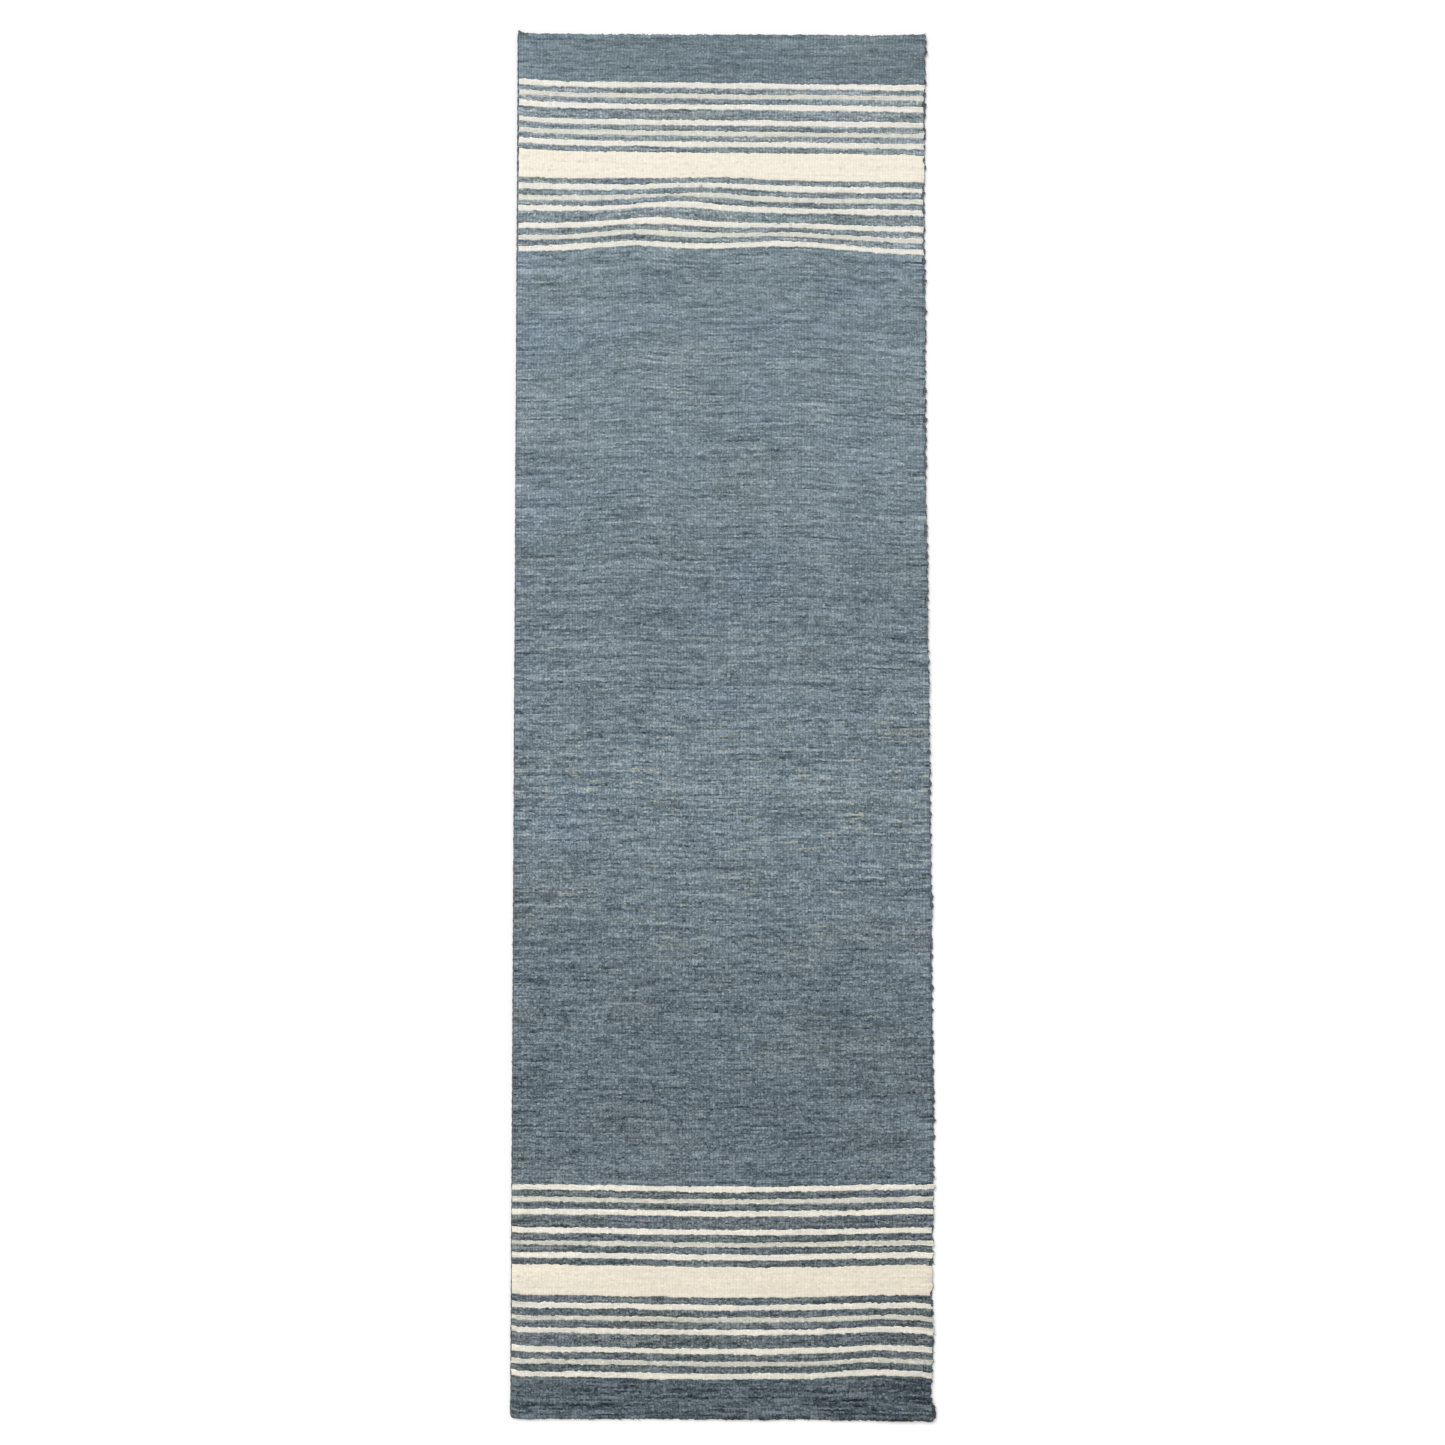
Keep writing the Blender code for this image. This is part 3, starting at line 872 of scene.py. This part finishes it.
def make_hem(side, sign):
    """The flap of ground turned under one end."""
    outline = hem_outline()
    stations = np.linspace(-GROUND_HALF_WIDTH, GROUND_HALF_WIDTH, 2 * RIBS + 1)
    end = end_line(side, stations)
    fray, along = HEM_FRAY
    frayed = fray * patches((len(stations), len(outline)), along, 0) * (outline[:, 0] > HEM_CUT_EDGE)
    y = end[:, None] - sign * (outline[:, 0] + frayed)
    z = np.broadcast_to(outline[:, 1], y.shape)
    x = np.broadcast_to(stations[:, None], y.shape)
    rings = np.stack([x, y, z], axis=-1)
    if sign < 0:
        rings = rings[:, ::-1]
    weave = 1 + HEM_TONES * patches(y.shape, 0, 0)
    return finish_piece(swept(side + "_turned_hem", rings, weave), "hem", side + "_hem")


# ================================================================ yarns: cords, wraps, stitches, loose ends
NOT_ALONG = (0.31, 0.17, 0.93)  # a direction that no yarn here runs in


def strands(name, paths, radii, kind, shades, sides=6):
    """Many short yarns as one piece. Each has a path of points, a radius at each point and a shade."""
    points, faces, caps, point_shades = [], [], [], []
    first = 0
    for path, radius, shade in zip(paths, radii, shades):
        along = np.gradient(path, axis=0)
        along /= np.linalg.norm(along, axis=1, keepdims=True)
        aside = np.cross(along, NOT_ALONG)
        aside /= np.linalg.norm(aside, axis=1, keepdims=True)
        above = np.cross(along, aside)
        turn = 2 * math.pi * np.arange(sides) / sides
        ring = np.cos(turn)[:, None] * aside[:, None] + np.sin(turn)[:, None] * above[:, None]
        rings = path[:, None] + radius[:, None, None] * ring
        corner, quads = skin(rings, first)
        points.append(rings.reshape(-1, 3))
        faces.append(quads)
        caps += [corner[0, ::-1], corner[-1]]
        first += corner.size
        point_shades.append(np.full(corner.size, shade))
    piece = new_piece(name, lay(np.concatenate(points)), [np.concatenate(faces), np.array(caps)])
    dress(piece, np.concatenate(point_shades))
    return finish_piece(piece, kind)


def round_ring(middle, radius, reach, y, around):
    """Points at that reach round the line X = middle, Z = radius, from each place y along it."""
    return np.stack(
        [middle - reach * np.cos(around), y + 0 * around, radius + reach * np.sin(around)], axis=-1
    )


def make_side(side, sign):
    """One long edge: yarn wound over a cord, in close slanting turns with lumps where it doubles."""
    low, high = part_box(side + "_overcasting")
    radius = (high.z - low.z) / 2
    middle = (low.x + high.x) / 2
    spacing, lump_height = LUMPS[side]
    count = int((high.y - low.y) / WRAP_PITCH * WRAP_STEPS)
    one_ring = (count, 1)
    y = np.linspace(low.y, high.y, count)[:, None]
    around = 2 * math.pi * np.arange(WRAP_SIDES)[None] / WRAP_SIDES
    slant = y + sign * WRAP_SLANT * np.sin(around)
    stray, rings = TURN_STRAY
    turns = slant / WRAP_PITCH + stray * patches(one_ring, rings)
    crown = np.abs(np.cos(math.pi * turns))
    ridge = WRAP_RIDGE * (crown - WRAP_GROOVE)
    beat = patches(one_ring, 4 * spacing / (high.y - low.y) * count)
    lumps = np.cos(2 * math.pi * y / spacing + LUMP_STRAY * beat) ** 3
    layer, rings = LUMP_LAYER
    lumps = lumps + layer * patches(one_ring, rings) + WRAP_SPREAD[side] * patches(one_ring, 1)
    lumps *= lump_height
    outer_side = 0.5 - 0.5 * sign * np.cos(around)
    reach = radius - WRAP_RIDGE * (1 - WRAP_GROOVE) + ridge + lumps * outer_side
    for end in (low.y, high.y):
        reach = reach + END_KNOB * np.exp(-(((np.abs(y - end) - END_KNOB_IN) / END_KNOB_IN) ** 2))
    taper_length, loss = WRAP_TAPER
    taper = np.clip(np.minimum(y - low.y, high.y - y) / taper_length, 0, 1) ** 0.5
    reach = reach * (1 - loss + loss * taper)
    outer = round_ring(middle, radius, reach, y, around)
    outer[..., 2] = np.maximum(outer[..., 2], GROUND_CLEARANCE)
    inner_y = np.linspace(low.y, high.y, count // INNER_STEPS)[:, None]
    inner = round_ring(middle, radius, radius - WRAP_WALL + 0 * inner_y, inner_y, around)

    # the yarn takes up the lightness of the knots beside it, their painted sheen along the rug included
    beside = np.interp(y[:, 0], line_y[1::2, 0], row_tone[:, 0 if sign < 0 else -1])
    even = WRAP_LIGHTNESS * blurred(np.minimum(beside, WRAP_LIGHTNESS)[:, None], WRAP_BLEND, 0)
    dark_from, full = WRAP_DARK_FROM
    even *= 1 - WRAP_DARKER_AT_ENDS * np.clip((np.abs(y) - dark_from) / full, 0, 1)
    spots = 1 - LUMP_SHADE * np.clip(lumps / lump_height, -1, 1)
    # painted shade in the grooves between turns
    groove, on_crown = GROOVE_SHADE
    spread, rings = WRAP_TONES
    shades = even * spots * (groove + on_crown * crown) * (1 + spread * patches(one_ring, rings))
    finish_piece(tube(side + "_overcast_yarn", outer, inner, shades), "wrap", side + "_overcasting")

    low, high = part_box(side + "_side_cord")
    core = (high.z - low.z) / 2
    y = np.arange(low.y, high.y, CORD_STEP)[:, None]
    around = 2 * math.pi * np.arange(CORD_SIDES)[None] / CORD_SIDES
    strand = np.abs(np.cos(CORD_STRANDS / 2 * (around + 2 * math.pi * y / CORD_TWIST)))
    reach = core * (1 - CORD_GROOVE + CORD_GROOVE * strand)
    # painted shade in the grooves between strands
    shades = 1 - CORD_GROOVE_SHADE + CORD_GROOVE_SHADE * strand
    cord = swept(side + "_twisted_cord", round_ring(middle, radius, reach, y, around), shades)
    finish_piece(cord, "cord", side + "_side_cord")


def make_stitches(side, sign):
    """Whip stitches that hold the hem, each from its flap round the end into the pile."""
    depth, height = np.array(STITCH_PATH).T * MM
    height = np.maximum(height, STITCH_RADIUS)
    slant = np.linspace(-STITCH_SLANT, STITCH_SLANT, len(STITCH_PATH))
    places = np.arange(-GROUND_HALF_WIDTH + STITCH_SPACING / 2, GROUND_HALF_WIDTH, STITCH_SPACING)
    places += STITCH_STRAY * RANDOM.normal(size=len(places))
    paths = [
        np.stack([place + slant, end_line(side, place) - sign * depth, height], axis=-1) for place in places
    ]
    radii = [np.full(len(STITCH_PATH), STITCH_RADIUS)] * len(paths)
    dark, light = STITCH_SHADES
    shades = dark + (light - dark) * RANDOM.random(len(paths))
    return strands(side + "_hem_stitches", paths, radii, "hem", shades)


def loose_yarn(base, outward, length, droop):
    """A short yarn of so many millimetres from its base, outward and bending down as it goes."""
    along = np.linspace(0, 1, YARN_POINTS)[:, None]
    path = np.array(base) + length * MM * along * np.array((*outward, 0.0))
    path[:, 2] = np.maximum(path[:, 2] - droop * length * MM * along[:, 0] ** 2, YARN_LOWEST)
    return path


def make_loose_ends(side, sign):
    """Short ends of yarn that stand out from one long side, with a few longer ones."""
    places = list(RANDOM.uniform(-HALF_LENGTH, HALF_LENGTH, LOOSE_ENDS[side]))
    lengths = list(RANDOM.uniform(*LOOSE_LENGTHS, LOOSE_ENDS[side]))
    if side == "right":
        places += LONG_LOOSE_ENDS
        lengths += list(RANDOM.uniform(*LONG_LOOSE_LENGTHS, len(LONG_LOOSE_ENDS)))
    paths, shades = [], []
    for place, length in zip(places, lengths):
        base = (sign * (HALF_WIDTH - 2 * MM), place, 6 * MM)
        paths.append(loose_yarn(base, (sign, RANDOM.uniform(-0.7, 0.7)), length, RANDOM.uniform(0.2, 0.7)))
        shades.append(RANDOM.uniform(0.55, 1.2))
    radii = [np.linspace(*LOOSE_RADII, YARN_POINTS) * MM] * len(paths)
    return strands(side + "_loose_yarn_ends", paths, radii, "wrap", shades)


def make_end_fuzz(end, sign):
    """Short ends of yarn along one end of the rug, and longer tufts at its corners."""
    paths, radii, shades = [], [], []
    for place in RANDOM.uniform(-GROUND_HALF_WIDTH, GROUND_HALF_WIDTH, END_FUZZ[end]):
        base = (place, end_line(end, place) - sign * 1.5 * MM, RANDOM.uniform(5, 9) * MM)
        outward = (RANDOM.uniform(-0.8, 0.8), sign)
        paths.append(loose_yarn(base, outward, RANDOM.uniform(*FUZZ_LENGTHS), RANDOM.uniform(0.1, 0.6)))
        radii.append(np.linspace(*FUZZ_RADII, YARN_POINTS) * MM)
        shades.append(RANDOM.uniform(0.5, 1.1))
    full, less = TUFT_TAPER
    for tuft_side, tuft_end, yarns, length in CORNER_TUFTS:
        for _ in range(yarns if tuft_end == sign else 0):
            inset = RANDOM.uniform(*TUFT_INSET)
            x = tuft_side * (HALF_WIDTH - inset * MM)
            base = (x, end_line(end, x) - sign * 2 * MM, RANDOM.uniform(5, 8) * MM)
            outward = (tuft_side * RANDOM.uniform(0.0, 0.35), sign * RANDOM.uniform(0.8, 1.0))
            paths.append(loose_yarn(base, outward, length * (full - less * inset), TUFT_DROOP))
            radii.append(np.linspace(*TUFT_RADII, YARN_POINTS) * MM)
            shades.append(RANDOM.uniform(0.4, 0.9))
    # the end band's lightness, with its painted sheen
    shades = np.array(shades) * BAND_LIGHTNESS[end + "_end_band"]
    return strands(end + "_loose_yarn_ends", paths, radii, "end_band", shades)


# ================================================================ camera, light and floor
def make_camera():
    """Looks down on the rug, a little from its near end."""
    camera = bpy.data.objects.new("camera", bpy.data.cameras.new("camera"))
    bpy.context.scene.collection.objects.link(camera)
    camera.data.lens = CAMERA_LENS
    aim_x, aim_y, aim_z = CAMERA_AIM
    camera.location = (
        aim_x,
        aim_y - CAMERA_DISTANCE * math.sin(CAMERA_TILT),
        aim_z + CAMERA_DISTANCE * math.cos(CAMERA_TILT),
    )
    camera.rotation_euler = (CAMERA_TILT, 0, 0)
    bpy.context.scene.camera = camera


def make_light():
    """A broad soft light from the far left, and an even pale sky."""
    lamp = bpy.data.lights.new("window", "SUN")
    lamp.angle = KEY_LIGHT_ANGLE
    lamp.energy = KEY_LIGHT_STRENGTH
    key = bpy.data.objects.new("window", lamp)
    bpy.context.scene.collection.objects.link(key)
    key.rotation_euler = Vector(KEY_LIGHT_FROM).to_track_quat("Z", "Y").to_euler()
    world = bpy.data.worlds.new("pale_room")
    world.use_nodes = True
    world.node_tree.nodes["Background"].inputs["Strength"].default_value = SKY_STRENGTH
    world.node_tree.nodes["Background"].inputs["Color"].default_value = (1, 1, 1, 1)
    bpy.context.scene.world = world
    bpy.context.scene.view_settings.view_transform = "Standard"


def make_floor():
    """A pale floor that curves up into a backdrop on all sides."""
    distance, height = np.array(BACKDROP).T
    around = 2 * math.pi * np.arange(BACKDROP_SIDES) / BACKDROP_SIDES
    flat = distance[:, None, None] * np.stack([np.cos(around), np.sin(around)], axis=-1)
    rings = np.concatenate([flat, np.broadcast_to(height[:, None, None], flat.shape[:2] + (1,))], axis=-1)
    corner, quads = skin(rings)
    floor = new_piece("floor", rings.reshape(-1, 3), [quads[:, ::-1], corner[:1]])
    material = bpy.data.materials.new("pale_floor")
    material.use_nodes = True
    tree = material.node_tree
    shader = tree.nodes["Principled BSDF"]
    place = add_node(tree, "ShaderNodeTexCoord").outputs["Object"]
    polish = spread_over(tree, noise(tree, place, FLOOR_NOISE, 2), *FLOOR_ROUGHNESS)
    tree.links.new(polish, shader.inputs["Roughness"])
    shader.inputs["Base Color"].default_value = FLOOR_COLOUR
    floor.data.materials.append(material)


make_camera()
make_light()
make_floor()
make_pile()
ground = make_ground()
for end_side, end_sign in (("far", 1), ("near", -1)):
    make_hem(end_side, end_sign)
    make_stitches(end_side, end_sign)
    make_end_fuzz(end_side, end_sign)
for long_side, long_sign in (("left", -1), ("right", 1)):
    make_side(long_side, long_sign)
    make_loose_ends(long_side, long_sign)
